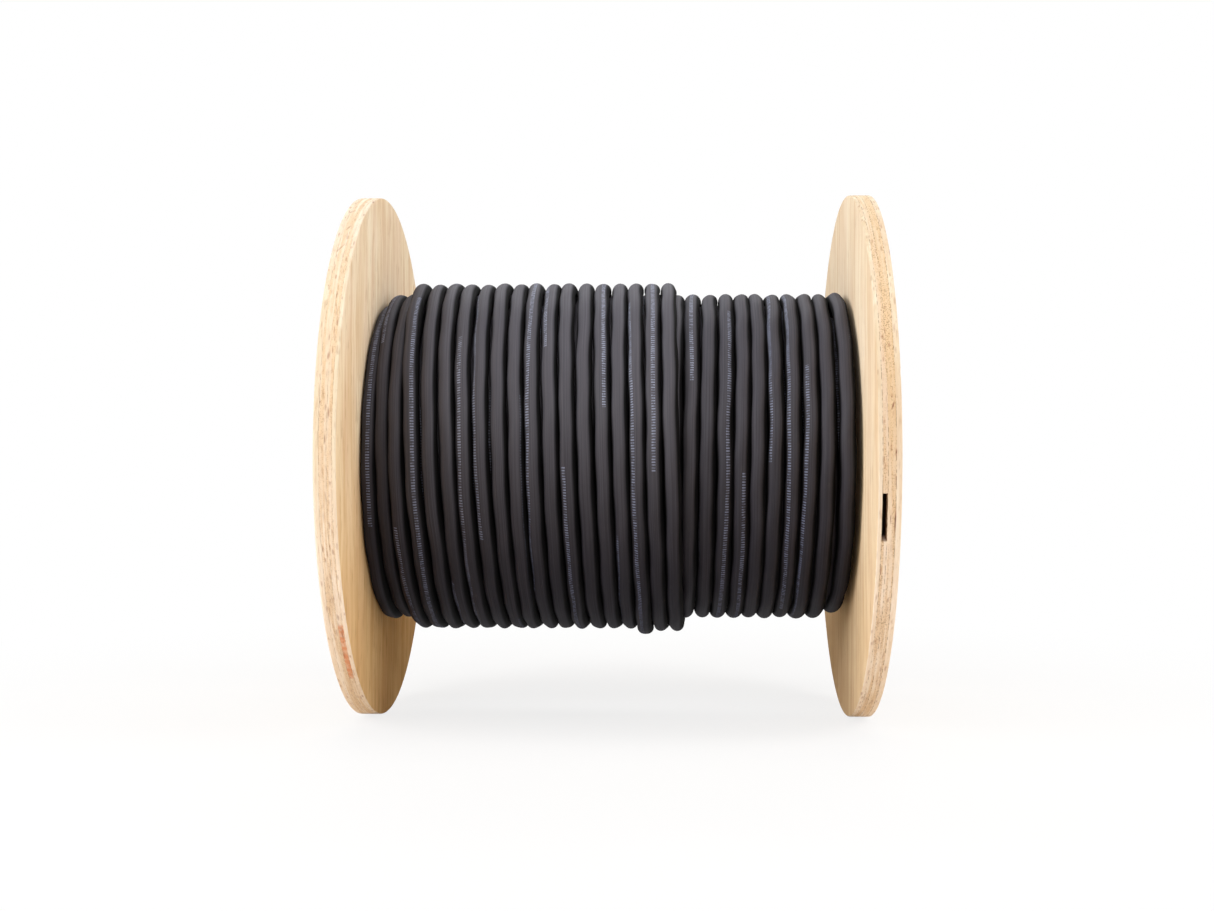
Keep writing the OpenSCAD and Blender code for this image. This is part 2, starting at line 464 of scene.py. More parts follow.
core = blend(tree, stretch(tree, ply, 1.0, 2.0), CORE_PINK, CORE_ORANGE)
core = blend(tree, on_right, CORE_ROSE, core)
core_tint = times(tree, cut_across, either(tree, marks["Smudge"], 1.0, 0.62))
core = blend(tree, core_tint, CORE_PALE, core)
wood = blend(tree, times(tree, crosswise, 0.92), wood, core)
wood = blend(tree, sawn, wood, SAWN_TINT, "MULTIPLY")
# Painted sheen at the top of the left rim, and painted light low down on both rims.
sheen_share = either(tree, on_right, 0.32, 0.0)
painted_sheen = stretch(tree, height_up, RIM_SHEEN_FROM, RIM_SHEEN_FULL, 0.0, sheen_share)
painted_rim_light = stretch(tree, height_up, RIM_LIGHT_FROM, RIM_LIGHT_FULL, 0.0, 0.90)
painted_rim_light = times(tree, sawn, calc(tree, "MAXIMUM", painted_sheen, painted_rim_light))
wood = blend(tree, painted_rim_light, wood, RIM_PALE_LIGHT)
lines = noise(tree, scaled(tree, place, SAW_LINES), 1.0, 3.0)
tan_lines = stretch(tree, lines, 0.36, 0.58, 0.0, either(tree, crosswise, 0.18, 0.62))
wood = blend(tree, times(tree, sawn, tan_lines), wood, TAN)
# The height printed here is where the painted light on the rim begins.
print("rim dust below", RIM_LIGHT_FROM, "m")

# %% [markdown]
# Last come the fine things: dark fibres, open pores where the grain is cut across, and the
# stain, glue lines and pits that the mesh marks. Fibres and pores also feed the bump, so
# that the light finds them too.

# %% Fibres, pores and marks
PORE_SOFTNESS = 0.10

fibre_share = times(tree, figure["Fibre"], either(tree, sawn, 0.39, 0.22))
wood = blend(tree, fibre_share, wood, FIBRE_TINT, "MULTIPLY")
pore_low = either(tree, crosswise, 0.62, 0.53)
pores = stretch(tree, figure["Pores"], pore_low, calc(tree, "ADD", pore_low, PORE_SOFTNESS))
pore_depth = stretch(tree, cut_across, 0.2, 1.0, 0.25, 0.62)
pore_depth = times(tree, pore_depth, either(tree, on_right, 0.45, 1.0))
pores = times(tree, pores, either(tree, crosswise, 0.30, pore_depth))
pores = times(tree, pores, stretch(tree, lines, 0.38, 0.60, 0.20, 1.0))
wood = blend(tree, pores, wood, PORE_BROWN)
patchy = stretch(tree, noise(tree, place, 300.0, 2.0), 0.35, 0.60, 0.45, 0.90)
wood = blend(tree, times(tree, attribute(tree, "stain"), patchy), wood, SALMON)
dashes = stretch(tree, noise(tree, place, 420.0, 2.0), 0.44, 0.58)
dashes = times(tree, dashes, either(tree, on_right, 0.40, 0.85))
wood = blend(tree, times(tree, attribute(tree, "glue"), dashes), wood, GLUE_BROWN)
# The dark mark holds pits, cracks, the bruise and the painted shade in the open core gap.
dark = attribute(tree, "dark")
pit_colour = blend(tree, stretch(tree, dark, 0.55, 1.0), RED_BROWN, CRACK_AND_SHADE_BLACK)
wood = blend(tree, dark, wood, pit_colour)

relief = calc(tree, "MULTIPLY_ADD", figure["Fibre"], -0.5, times(tree, pores, -1.2))
wood_finish = {
    "Base Color": wood,
    "Roughness": either(tree, figure["Fibre"], 0.68, 0.80),
    "Specular IOR Level": 0.0,
    "Normal": bump(tree, relief, 0.35, 0.15 * MM),
}
shade(tree, end, wood_finish)
print("plywood finish", len(tree.nodes), "nodes")

# %% [markdown]
# ## Meshes from rings
# A turned or bored piece is a family of rings. The helper keeps the rings of one piece, joins
# neighbours with quads, and fills a flat face between one outer ring and the holes in it.
# Constrained Delaunay triangles do that without moving a point, so the piece stays closed.

# %% Ring mesh helper
SHARP_ANGLE = math.radians(35)


class RingMesh:
    """Collects rings of points with their marks, and the faces between them."""

    def __init__(self, *marks):
        self.points, self.faces, self.flat = [], [], []
        self.marks = {mark: [] for mark in marks}

    def ring(self, points, **marks):
        start = len(self.points)
        self.points.extend(map(tuple, points))
        for name, values in self.marks.items():
            value = marks.get(name, 0.0)
            values.extend(value if np.ndim(value) else [value] * len(points))
        return list(range(start, len(self.points)))

    def chain(self, rings):
        """Quads from each ring to the next."""
        for first, second in zip(rings, rings[1:]):
            self.bridge(first, second)

    def bridge(self, first, second):
        """Quads between two rings of the same count."""
        count = len(first)
        for i in range(count):
            j = (i + 1) % count
            self.faces.append((first[i], first[j], second[j], second[i]))
            self.flat.append(False)

    def sheet(self, outer, holes):
        """Flat triangles from the outer ring to the rings of round holes in it."""
        index, owner, edges = [], [], []
        for number, ring in enumerate([outer] + holes):
            start = len(index)
            index.extend(ring)
            owner.extend([number] * len(ring))
            edges.extend((start + i, start + (i + 1) % len(ring)) for i in range(len(ring)))
        flat = [Vector(self.points[i][1:]) for i in index]
        _, _, triangles, sources, _, _ = delaunay_2d_cdt(flat, edges, [], 1, 1e-9)
        for triangle in triangles:
            corners = [sources[i][0] for i in triangle]
            owners = {owner[i] for i in corners}
            if owners == {0} or len(owners) > 1:
                self.faces.append(tuple(index[i] for i in corners))
                self.flat.append(True)

    def build(self, name):
        mesh = bpy.data.meshes.new(name)
        mesh.from_pydata(self.points, [], self.faces)
        mesh.polygons.foreach_set("use_smooth", [not flat for flat in self.flat])
        for mark, values in self.marks.items():
            mesh.attributes.new(mark, "FLOAT", "POINT").data.foreach_set("value", values)
        shell = bmesh.new()
        shell.from_mesh(mesh)
        bmesh.ops.recalc_face_normals(shell, faces=shell.faces)
        shell.to_mesh(mesh)
        shell.free()
        mesh.set_sharp_from_angle(angle=SHARP_ANGLE)
        piece = bpy.data.objects.new(name, mesh)
        bpy.context.scene.collection.objects.link(piece)
        return piece


print("edges over", round(math.degrees(SHARP_ANGLE)), "degrees stay sharp")

# %% Circles round the drum
def drum_circle(x, radius, angles, y=0.0, z=None):
    """Points round the drum axis, or round (y, z); angle 0 is the front and 90 degrees the top."""
    z = axis_z if z is None else z
    radius = np.broadcast_to(radius, angles.shape)
    across = np.full(angles.shape, x)
    return np.stack([across, y - radius * np.cos(angles), z + radius * np.sin(angles)], 1)


def round_angles(count):
    """Evenly spaced angles of one full turn."""
    return np.arange(count) * (2 * math.pi / count)


print("circles start at the front of the drum")

# %% [markdown]
# ## The flange rims
# A rim is sawn round, so its plies stand a few hundredths apart, the open end grain is
# rough, short splinters are missing, and glue lines show as fine grooves. The rim is a grid
# of rings, four or more to a ply, and the relief is a sum of small seeded noises on it.
# A displacement modifier could do this, but a grid of our own can hold the marks as well.

# %% Rim rows and plies
RIM_COUNT = 1080
EDGE_EASE = 0.7 * MM
PLY_ENDS_MM = np.array([0.0, 2.2, 4.9, 8.9, 11.9])
ply_ends = PLY_ENDS_MM / PLY_ENDS_MM[-1] * flange_t
CROSS_PLIES = (1, 2)
LAST_PLY = 3
ROW_STEP = 0.5 * MM
GLUE_HALF = 0.20 * MM
LINE_HALF = 0.03 * MM


def rim_rows():
    """Depth from the inner face, drop below the rim, ply and glue mark of each ring of a rim."""
    eased = [
        (EDGE_EASE * (1 - math.cos(corner)), EDGE_EASE * (1 - math.sin(corner)))
        for corner in np.radians([0, 30, 60])
    ]
    rows = [(depth, drop, 0, 0.0) for depth, drop in eased]
    for ply_index in range(LAST_PLY + 1):
        low = ply_ends[ply_index] + (GLUE_HALF if ply_index else EDGE_EASE)
        high = ply_ends[ply_index + 1] - (GLUE_HALF if ply_index < LAST_PLY else EDGE_EASE)
        if ply_index:
            rows.append((ply_ends[ply_index] + LINE_HALF, 0.0, ply_index, 1.0))
        steps = 2 + int((high - low) / ROW_STEP)
        rows.extend((depth, 0.0, ply_index, 0.0) for depth in np.linspace(low, high, steps))
        if ply_index < LAST_PLY:
            rows.append((ply_ends[ply_index + 1] - LINE_HALF, 0.0, ply_index, 1.0))
    rows.extend((flange_t - depth, drop, LAST_PLY, 0.0) for depth, drop in reversed(eased))
    return np.array(rows)


rim = rim_rows()
rim_depth, rim_ply, rim_glue = rim[:, 0][:, None], rim[:, 2], rim[:, 3][:, None]
rim_angles = round_angles(RIM_COUNT)
print("rim rows", len(rim), "points round", RIM_COUNT)

# %% Rim relief
WARP, PLY_WAVE = 0.05 * MM, 0.02 * MM
SAW_ROUGH_MM, END_ROUGH_MM = 0.012, 0.045
CORE_SINK = 0.04 * MM
GLUE_SINK = 0.09 * MM
PIT_LONG_MM, PIT_WIDE_MM, PIT_DEEP_MM = (0.8, 3.0), (0.25, 0.6), (0.15, 0.5)
PIT_MARGIN = 0.3 * MM
PIT_SKEW = 0.3
PIT_DARK = 0.55


def round_noise(rng, shape, waves):
    """Smooth seeded noise that closes round the rim, about 1 high; waves is its finest count."""
    spectrum = np.fft.rfft(rng.standard_normal(shape), axis=-1)
    spectrum *= np.exp(-((np.arange(spectrum.shape[-1]) / waves) ** 2))
    spectrum[..., 0] = 0
    wavy = np.fft.irfft(spectrum, shape[-1], axis=-1)
    return wavy / wavy.std()


def rim_distance(angle):
    """Signed distance of each rim point from an angle in radians, along the rim."""
    turn = (rim_angles - angle + math.pi) % (2 * math.pi) - math.pi
    return turn * flange_r


def hump(value):
    """1 in the middle, falling to 0 where the value reaches 1 or -1."""
    return np.clip(1 - value ** 2, 0, 1)


def rim_relief(rng):
    """Height of each rim point and how dark it is, before the named marks."""
    plies = rim_ply.astype(int)
    across = np.isin(plies, CROSS_PLIES)[:, None]
    end_grain = np.where(across, np.abs(np.cos(rim_angles)), np.abs(np.sin(rim_angles)))
    height = WARP * round_noise(rng, (1, RIM_COUNT), 24)
    height = height + PLY_WAVE * round_noise(rng, (LAST_PLY + 1, RIM_COUNT), 60)[plies]
    height = height - np.where(across, CORE_SINK, 0.0)
    coarse = round_noise(rng, (len(rim), RIM_COUNT), 300)
    height = height + coarse * (SAW_ROUGH_MM + END_ROUGH_MM * end_grain ** 2) * MM
    height = height - rim_glue * GLUE_SINK
    return height, np.zeros_like(height), end_grain


def splinter_pits(rng, height, dark, end_grain, count):
    """Short pits where the saw tore out end grain."""
    for _ in range(count):
        angle, ply_index = rng.uniform(0, 2 * math.pi), rng.integers(0, LAST_PLY + 1)
        low, high = ply_ends[ply_index], ply_ends[ply_index + 1]
        middle = rng.uniform(low + PIT_MARGIN, high - PIT_MARGIN)
        long, wide = rng.uniform(*PIT_LONG_MM) * MM, rng.uniform(*PIT_WIDE_MM) * MM
        deep = rng.uniform(*PIT_DEEP_MM) * MM
        skew = rng.uniform(-PIT_SKEW, PIT_SKEW) * MM * (rim_angles - angle)
        along = rim_distance(angle) / long
        across = (rim_depth - middle - skew) / wide
        pit = np.clip(1 - along ** 2 - across ** 2, 0, 1) * end_grain
        pit *= (rim_ply == ply_index)[:, None]
        height -= pit * deep
        dark[:] = np.maximum(dark, np.sqrt(pit) * PIT_DARK)


print("relief ready for", len(rim) * RIM_COUNT, "rim points")

# %% [markdown]
# Some marks can be seen in the photograph and are put where they are: on the right flange an
# open core gap at the front with a long crack beside it, a chip out of the outer corner and a
# bruise near the top, and on the left one a reddish piece of core ply and slanting cracks.
# Angle 0 is the front of the drum and 90 degrees the top.

# %% Named marks on the rims
CORE_GAP = dict(angle=-11.7, length=23.5 * MM, plies=(1,), deep=8.9 * MM)
CORNER_CHIP = dict(angle=16.0, length=4.5 * MM, reach=1.2 * MM, deep=1.0 * MM, dark=0.12)
EDGE_NICK = dict(angle=112.0, length=11 * MM, reach=1.6 * MM, deep=0.5 * MM, dark=0.75)
RED_PLY = dict(angle=-43.7, length=46 * MM, ply=1)


def along_mark(mark):
    """Place along a named mark: 0 in its middle, 1 and -1 at its ends."""
    return rim_distance(math.radians(mark["angle"])) / (mark["length"] / 2)


def open_core_gap(height, dark):
    """A missing strip of core ply: the rim drops straight in, and its walls are painted near black
    as painted shade.
    """
    inside = np.abs(along_mark(CORE_GAP)) < 1
    cut = np.isin(rim_ply, CORE_GAP["plies"])[:, None] & inside
    height[cut] = -CORE_GAP["deep"]
    # Painted shade: the walls of the gap are marked fully dark.
    dark[cut] = 1.0


def chip_corner(height, dark):
    """A splinter gone from the outer corner."""
    across = (flange_t - rim_depth) / CORNER_CHIP["reach"]
    bite = hump(along_mark(CORNER_CHIP)) ** 0.5 * np.clip(1 - across, 0, 1)
    height -= bite * CORNER_CHIP["deep"]
    dark[:] = np.maximum(dark, bite * CORNER_CHIP["dark"])


def nick_edge(height, dark):
    """A dark bruise on the inner corner, near the top at the back."""
    across = rim_depth / EDGE_NICK["reach"]
    bruise = hump(along_mark(EDGE_NICK)) ** 0.5 * np.clip(1 - across, 0, 1)
    height -= bruise * EDGE_NICK["deep"]
    dark[:] = np.maximum(dark, np.clip(bruise * 2, 0, EDGE_NICK["dark"]))


def red_ply_stain():
    """1 on the reddish length of core ply, with quick ends."""
    near = np.abs(along_mark(RED_PLY))
    return np.clip((1 - near) * 12, 0, 1) * (rim_ply == RED_PLY["ply"])[:, None]


print("named marks: core gap, chip, bruise, red ply")

# %% Cracks in the rims
# angle, depth from the inner face (mm), length (mm), slant
LEFT_CRACKS = (
    (54.5, 6.4, 6.5, -0.40),
    (46.9, 7.4, 8.0, -0.46),
    (63.0, 8.4, 6.5, -0.55),
    (-38.0, 3.2, 6.0, 0.10),
)
RIGHT_CRACKS = ((-12.4, 8.75, 15.0, 0.015), (0.7, 8.7, 4.0, 0.05), (9.5, 7.4, 5.0, 0.40))
CRACK_HALF = 0.42 * MM
CRACK_DEEP = 0.3 * MM


def slanting_cracks(height, dark, cracks, darkness):
    """Thin dark cracks that cross the plies at a slant."""
    for angle, depth, length, slant in cracks:
        distance = rim_distance(math.radians(angle))
        line = rim_depth - depth * MM - slant * distance
        crack = hump(line / CRACK_HALF) * hump(distance / (length * MM / 2))
        height -= crack * CRACK_DEEP
        dark[:] = np.maximum(dark, crack * darkness)


def small_cracks(rng, count):
    """Seeded short cracks that run along the core plies."""
    return [
        (rng.uniform(0, 360), rng.uniform(2.6, 8.6), rng.uniform(2, 7), rng.uniform(-0.15, 0.15))
        for _ in range(count)
    ]


print("cracks:", len(LEFT_CRACKS), "on the left and", len(RIGHT_CRACKS), "on the right")

# %% All marks of one rim
PIT_COUNT = 170
SMALL_CRACKS_LEFT, SMALL_CRACKS_RIGHT = 150, 60


def rim_marks(rng, side):
    """Relief, darkness and stain of one rim, with the marks of its side."""
    height, dark, end_grain = rim_relief(rng)
    splinter_pits(rng, height, dark, end_grain, PIT_COUNT)
    stain = np.zeros_like(height)
    if side > 0:
        open_core_gap(height, dark)
        chip_corner(height, dark)
        nick_edge(height, dark)
        slanting_cracks(height, dark, RIGHT_CRACKS, 1.0)
    else:
        slanting_cracks(height, dark, LEFT_CRACKS, 0.75)
        stain = red_ply_stain()
    count = SMALL_CRACKS_RIGHT if side > 0 else SMALL_CRACKS_LEFT
    slanting_cracks(height, dark, small_cracks(rng, count), 0.30)
    dark[[0, -1]] = 0.0
    return np.minimum(height, 0.0), dark, stain


print("splinter pits on each rim", PIT_COUNT)

# %% [markdown]
# ## The flanges
# Inside the rim lie the flat faces, the arbor hole, the groove that the core tube stands in
# and four counterbored bolt holes. They are one closed skin, as the flange is one piece of
# board. Booleans could cut the holes too, but rings keep every edge clean and closed.

# %% Flange sizes
arbor_r = arbor["dims"]["r_mm"] * MM
groove_in, groove_out, groove_deep = 54.7 * MM, 60.3 * MM, 4.0 * MM
bolt_reach = 39.0 * MM
hole_edge = 0.4 * MM
bolt_angles = np.radians([45, 135, 225, 315])
HOLE_POINTS, BOLT_POINTS = 192, 64
WALL_GLUE = 0.6
left_bores = dict(hole=6.85 / 2 * MM, pocket=14.8 / 2 * MM, pocket_deep=3.1 * MM)
right_bores = dict(hole=8.9 / 2 * MM, pocket=18.5 / 2 * MM, pocket_deep=1.8 * MM)
print("arbor radius", arbor_r, "bolts at", bolt_reach)

# %% Holes in a flange
def bolt_bores(skin, side, hole, pocket, pocket_deep):
    """The four bolt holes; gives their rings in the inner and the outer face."""
    turn = round_angles(BOLT_POINTS)
    rows = (
        (0.0, hole, 0, 0.2),
        (flange_t - pocket_deep, hole, LAST_PLY, 0.2),
        (flange_t - pocket_deep, pocket, LAST_PLY, 0.1),
        (flange_t, pocket, LAST_PLY, 0.0),
    )
    inner, outer = [], []
    for angle in bolt_angles:
        y, z = -bolt_reach * math.cos(angle), axis_z + bolt_reach * math.sin(angle)
        rings = []
        for depth, radius, ply_index, dark in rows:
            points = drum_circle(side * (inner_x + depth), radius, turn, y, z)
            rings.append(skin.ring(points, ply=ply_index, dark=dark))
        skin.chain(rings)
        inner.append(rings[0])
        outer.append(rings[-1])
    return inner, outer


def arbor_wall(skin, side):
    """The wall of the arbor hole, ply by ply, with its edges eased."""
    turn = round_angles(HOLE_POINTS)
    rows = [(0.0, arbor_r + hole_edge, 0, 0.0), (hole_edge, arbor_r, 0, 0.0)]
    for index in range(1, LAST_PLY + 1):
        rows.append((ply_ends[index] - LINE_HALF, arbor_r, index - 1, WALL_GLUE))
        rows.append((ply_ends[index] + LINE_HALF, arbor_r, index, WALL_GLUE))
    rows.append((flange_t - hole_edge, arbor_r, LAST_PLY, 0.0))
    rows.append((flange_t, arbor_r + hole_edge, LAST_PLY, 0.0))
    rings = []
    for depth, radius, index, glue in rows:
        points = drum_circle(side * (inner_x + depth), radius, turn)
        crosswise = float(index in CROSS_PLIES)
        rings.append(skin.ring(points, ply=index, cross=crosswise, glue=glue))
    skin.chain(rings)
    return rings[0], rings[-1]


def core_groove(skin, side):
    """The round groove for the core tube; gives its outer and inner ring in the face."""
    turn = round_angles(HOLE_POINTS)
    rows = (
        (0.0, groove_out), (groove_deep, groove_out), (groove_deep, groove_in), (0.0, groove_in)
    )
    rings = [
        skin.ring(drum_circle(side * (inner_x + depth), radius, turn), ply=0)
        for depth, radius in rows
    ]
    skin.chain(rings)
    return rings[0], rings[-1]


print("holes ready: arbor, groove and", len(bolt_angles), "bolts")

# %% One flange
def make_flange(name, side, bores, seed):
    """One flange board as a closed skin; side is -1 at the left and 1 at the right."""
    rng = np.random.default_rng(seed)
    height, dark, stain = rim_marks(rng, side)
    skin = RingMesh("ply", "cross", "glue", "stain", "dark")
    rim_rings = []
    for row, (depth, drop, ply_index, glue) in enumerate(rim):
        points = drum_circle(side * (inner_x + depth), flange_r - drop + height[row], rim_angles)
        crosswise = float(ply_index in CROSS_PLIES)
        row_marks = dict(stain=stain[row], dark=dark[row])
        rim_rings.append(skin.ring(points, ply=ply_index, cross=crosswise, glue=glue, **row_marks))
    skin.chain(rim_rings)

    groove_rim, groove_hub = core_groove(skin, side)
    inner_bolts, outer_bolts = bolt_bores(skin, side, **bores)
    inner_arbor, outer_arbor = arbor_wall(skin, side)
    skin.sheet(rim_rings[0], [groove_rim])
    skin.sheet(groove_hub, inner_bolts + [inner_arbor])
    skin.sheet(rim_rings[-1], outer_bolts + [outer_arbor])
    piece = skin.build(name)
    piece.data.materials.append(plywood)
    return piece


print("flange boards are", round(flange_t / MM, 2), "mm thick")

# %% Build the two flanges
flange_plan = (
    ("left_flange_board", "left_flange", -1, left_bores, 11),
    ("right_flange_board", "right_flange", 1, right_bores, 23),
)
for name, node, side, bores, seed in flange_plan:
    board = make_flange(name, side, bores, seed)
    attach(board, "root")
    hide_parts(node)
    print(name, len(board.data.polygons), "faces")

# %% [markdown]
# ## The rubber finish
# The jacket is black rubber with a dull bloom that was drawn out along the cable. A map on
# the mesh counts metres along the cable and turns round it, and noise on that map follows
# every bend. In the photograph the upper turns are paler, less so at the left end and on the
# sunken turns at the right, so a paler grey is blended in by height and place as painted
# light, held back where the left flange and the sunken turns are in shade.

# %% Rubber jacket
cable_d = 8.9 * MM
RUBBER = (0.0115, 0.0107, 0.0165, 1)
RUBBER_BLOOM = (0.025, 0.0232, 0.0330, 1)
# Paler grey painted on the tops of the turns as painted light.
RUBBER_TOP_LIGHT = (0.097, 0.0960, 0.1150, 1)
RUBBER_SCUFF = (0.09, 0.086, 0.086, 1)
DRAWN_LINES = (2.5, 7.0, 7.0)
TOP_LIGHT_FROM, TOP_LIGHT_FULL = 0.06, 0.23
LEFT_END, LEFT_LIGHT_FULL = -0.135, -0.085
RIGHT_LIGHT_FULL, RIGHT_SUNK = 0.035, 0.060

rubber, tree, place, end = new_finish("cable_rubber")
strand = put(tree, "ShaderNodeUVMap", uv_map="strand").outputs[0]
strand = put(tree, "ShaderNodeSeparateXYZ", {0: strand}).outputs
metres, around = strand[0], strand[1]
bend = times(tree, around, 2 * math.pi)
skin_axes = (times(tree, metres, 3.0), calc(tree, "COSINE", bend), calc(tree, "SINE", bend))
skin_place = put(tree, "ShaderNodeCombineXYZ", dict(enumerate(skin_axes))).outputs[0]
drawn = noise(tree, scaled(tree, skin_place, DRAWN_LINES), 1.0, 3.0, 0.6)
marks = handled(tree, place, 26.0, 1500.0)
bloom = times(tree, stretch(tree, drawn, 0.35, 0.65), either(tree, marks["Smudge"], 0.4, 0.9))
jacket = blend(tree, bloom, RUBBER, RUBBER_BLOOM)

spot = put(tree, "ShaderNodeSeparateXYZ", {0: place}).outputs
# Painted light on the tops of the turns, weaker near the left flange and on the sunken turns at
# the right, where they are in shade.
painted_top_light = stretch(tree, spot[2], TOP_LIGHT_FROM, TOP_LIGHT_FULL)
painted_top_light = times(tree, painted_top_light, stretch(tree, spot[0], LEFT_END, LEFT_LIGHT_FULL, 0.45, 1.0))
painted_top_light = times(tree, painted_top_light, stretch(tree, spot[0], RIGHT_LIGHT_FULL, RIGHT_SUNK, 1.0, 0.68))
painted_top_light = times(tree, painted_top_light, stretch(tree, drawn, 0.30, 0.70, 0.65, 1.0))
jacket = blend(tree, painted_top_light, jacket, RUBBER_TOP_LIGHT)
jacket = blend(tree, times(tree, marks["Scuff"], 0.10), jacket, RUBBER_SCUFF)
print("rubber jacket in", len(tree.nodes), "nodes")

# %% [markdown]
# A row of pale ticks runs along one side of the cable and wanders round it, because the cable
# turns a little as it is wound. They are plain, even marks, worn in places, and darker low
# down as painted shade. Slow sines move the row, and two repeats along the length make the
# ticks and the bare stretches between the rows.

# %% Printed ticks
TICK_BLUE = (0.33, 0.37, 0.49, 1)
TICK_SHADED = (0.10, 0.12, 0.21, 1)
TICK_STEP = 1.45 * MM
TICK_HALF = 1.05 * MM
TICK_SHARE = 0.5
ROW_REPEAT, ROW_SHARE = 0.47, 0.55
ROW_WAVES = ((2.9, 0.15, 0.3), (1.07, 0.08, 1.9), (0.31, 0.012, 0.0))


def wander(tree, value, waves):
    """A slow sum of sines about 0.5; each wave is a length, a reach and a start."""
    total = 0.5
    for length, reach, start in waves:
        angle = calc(tree, "MULTIPLY_ADD", value, 2 * math.pi / length, start)
        total = calc(tree, "MULTIPLY_ADD", calc(tree, "SINE", angle), reach, total)
    return total


def repeats(tree, value, step, share):
    """1 in the first share of every step and 0 in the rest."""
    part = calc(tree, "FRACT", calc(tree, "DIVIDE", value, step))
    return calc(tree, "LESS_THAN", part, share)


row_place = wander(tree, metres, ROW_WAVES)
from_row = calc(tree, "ABSOLUTE", calc(tree, "SUBTRACT", around, row_place))
in_row = calc(tree, "LESS_THAN", from_row, TICK_HALF / (math.pi * cable_d))
printed = times(tree, in_row, repeats(tree, metres, TICK_STEP, TICK_SHARE))
printed = times(tree, printed, repeats(tree, metres, ROW_REPEAT, ROW_SHARE))
worn = stretch(tree, noise(tree, place, 420.0, 2.0), 0.36, 0.56, 0.25, 0.85)
printed = times(tree, printed, worn)
# Painted shade: the ticks are darker low down, following the painted light mask.
tick_colour = blend(tree, painted_top_light, TICK_SHADED, TICK_BLUE)
jacket = blend(tree, printed, jacket, tick_colour)
print("tick every", TICK_STEP, "m, a row every", ROW_REPEAT, "m")

# %% [markdown]
# Little light gets in between the turns, so the jacket is painted darker away from its crest
# as painted shade. The mask for that sits a little to one side, as painted shade on one side,
# because one side of each groove is darker in the photograph. The rubber is smoother on the
# crest than edge-on.

# %% Grooves and shine
RUBBER_GROOVE_SHADE = (0.0020, 0.0017, 0.0020, 1)
CREST = 0.535
GROOVE_FROM, GROOVE_FULL = 0.085, 0.170

# Painted shade in the grooves between the turns, shifted to one side of each turn.
from_crest = calc(tree, "ABSOLUTE", calc(tree, "SUBTRACT", around, CREST))
groove = stretch(tree, from_crest, GROOVE_FROM, GROOVE_FULL)
jacket = blend(tree, groove, jacket, RUBBER_GROOVE_SHADE)
edge_on = put(tree, "ShaderNodeLayerWeight", {"Blend": 0.5}).outputs["Facing"]
rough = either(tree, marks["Smudge"], 0.40, 0.47)
rough = calc(tree, "MULTIPLY_ADD", edge_on, 0.33, rough)
rough = calc(tree, "MULTIPLY_ADD", groove, 0.2, rough)
relief = calc(tree, "MULTIPLY_ADD", drawn, 0.6, times(tree, marks["Specks"], 0.25))
rubber_normal = bump(tree, relief, 0.40, 0.14 * MM)
rubber_finish = {"Base Color": jacket, "Roughness": rough, "IOR": 1.18, "Normal": rubber_normal}
shade(tree, end, rubber_finish)
print("rubber finish", len(tree.nodes), "nodes")

# %% [markdown]
# ## The winding
# A cable laid on a drum is one long helix that turns back at each flange, and every layer
# lies in the grooves of the one under it. Its path is written as three columns: turns since
# the start, place along the axis, and distance from the axis. A tube is then swept along it.
# A curve with a bevel would do that too, but rings of our own give each point its length
# along the cable, which the printed ticks and the twist of the cores need. The cable is swept
# in three lengths. Their ends are tucked under other turns, apart from the cut end of the last.

# %% The path of a cable
def on_drum(turns, x, radius):
    """Points of a path; turn 0 is the top of the drum, and the cable runs down the front."""
    angle = math.pi / 2 - 2 * math.pi * turns
    return np.stack([x, -radius * np.cos(angle), axis_z + radius * np.sin(angle)], 1)


def path_frames(points):
    """Forward, outward and sideways directions at each point of a path."""
    along = np.gradient(points, axis=0)
    along /= np.linalg.norm(along, axis=1, keepdims=True)
    out = points - np.array([0, 0, axis_z])
    out[:, 0] = 0
    out -= along * np.sum(out * along, axis=1, keepdims=True)
    out /= np.linalg.norm(out, axis=1, keepdims=True)
    return along, out, np.cross(along, out)


print("paths run round the axis at height", round(axis_z, 4))

# %% [markdown]
# The two cores twist inside the jacket, so the tube is not quite round: a slight lobe turns
# along it once in each lay of the cores. Two maps go with the mesh. One gives length and
# turn for the finish, and the other lays every lap of the winding side by side for baking.

# %% Maps of a cable
STRIP_EDGE, STRIP_WIDTH = 0.02, 0.96


def cable_maps(mesh, turns, length, around, corners):
    """One map with a strip for each lap, and one of metres along and turns round the cable."""
    first_lap = math.floor(turns[0])
    laps = math.ceil(turns[-1]) - first_lap
    lap = np.floor(turns[corners[0][0]] + 1e-6)
    strips, metres_round = [], []
    for a, b in corners:
        strip = (lap - first_lap + STRIP_EDGE + STRIP_WIDTH * around[b]) / laps
        strips.append(np.stack([turns[a] - lap, strip], 1))
        metres_round.append(np.stack([length[a], around[b]], 1))
    ends = np.zeros(4 * (len(around) - 1))
    for name, places in (("OFBake", strips), ("strand", metres_round)):
        values = np.concatenate([np.stack(places, 1).ravel(), ends])
        mesh.uv_layers.new(name=name).data.foreach_set("uv", values)


print("each strip fills", STRIP_WIDTH, "of its lap")

# %% Sweep a cable
CORE_LAY = 74 * MM
LOBE = 0.055


